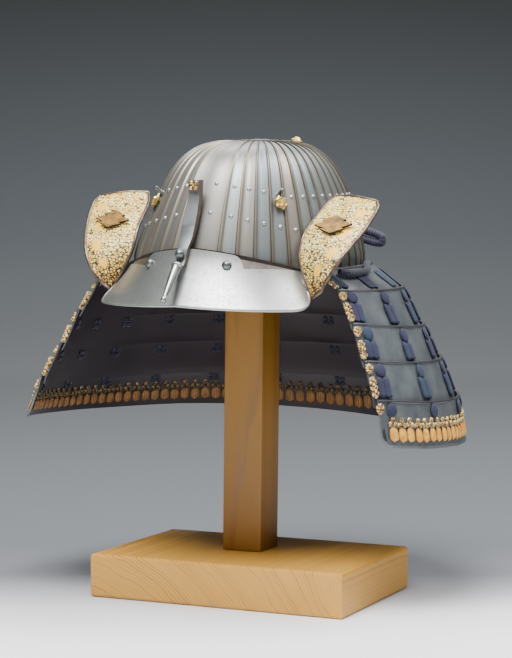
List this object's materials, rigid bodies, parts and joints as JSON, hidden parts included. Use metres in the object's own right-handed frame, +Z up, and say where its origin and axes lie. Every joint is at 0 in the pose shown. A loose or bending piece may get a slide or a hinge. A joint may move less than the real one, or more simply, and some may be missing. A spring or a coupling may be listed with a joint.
{
  "type": "kabuto samurai helmet on wooden stand",
  "caption": "Ribbed iron kabuto with a flared visor, gilt turnbacks and a wide laced neck guard, resting on a plain wooden post stand.",
  "frame": {"origin": "middle of the underside of the stand's base", "axes": "+Z up, the helmet's front faces -Y and the wearer's left is +X"},
  "size_m": [0.4591, 0.4242, 0.476],
  "materials": {
    "wood": "plain planed softwood, lightly oiled",
    "iron": "old polished iron, silvery grey with a warm tint along the ribs",
    "steel": "polished dark steel",
    "gilt": "worn gilding on copper",
    "gilt_leather": "gilt leather with a fine pitted crackle",
    "bronze": "brown patinated bronze, satin",
    "lacquer": "grey-green lacquer over iron outside, dark brown inside",
    "silk": "braided indigo silk",
    "gold_braid": "twisted gold and brown silk"
  },
  "bodies": {
    "root": {"stand_base": "wood", "stand_post": "wood", "bowl": "iron", "tehen_plate": "gilt", "crown_boss": "gilt", "stud_front_left": "steel", "cup_front_left": "gilt", "stud_rear_left": "steel", "cup_rear_left": "gilt", "stud_rear_right": "steel", "cup_rear_right": "gilt", "stud_front_right": "steel", "cup_front_right": "gilt", "visor": "iron", "visor_rivet_left": "steel", "visor_rivet_right": "steel", "crest_holder": "steel", "holder_plate": "gilt", "holder_rivet": "steel", "holder_pin": "steel", "turnback_left": "gilt_leather", "crest_left": "bronze", "turnback_right": "gilt_leather", "crest_right": "bronze", "lame_1": "lacquer", "lame_2": "lacquer", "lame_3": "lacquer", "lame_4": "lacquer", "lame_5": "lacquer", "lace_1": "silk", "lace_2": "silk", "lace_3": "silk", "lace_4": "silk", "lace_5": "silk", "lace_6": "silk", "lace_7": "silk", "lace_8": "silk", "lace_9": "silk", "lace_10": "silk", "lace_11": "silk", "lace_12": "silk", "lace_13": "silk", "edge_braid_right": "gold_braid", "edge_braid_left": "gold_braid", "hem_tabs_outer": "gold_braid", "hem_tabs_inner": "gold_braid", "bow_knot": "silk", "bow_loop_left": "silk", "bow_loop_right": "silk", "cord_knot": "silk", "cord_strand": "silk"}
  },
  "joints": []
}
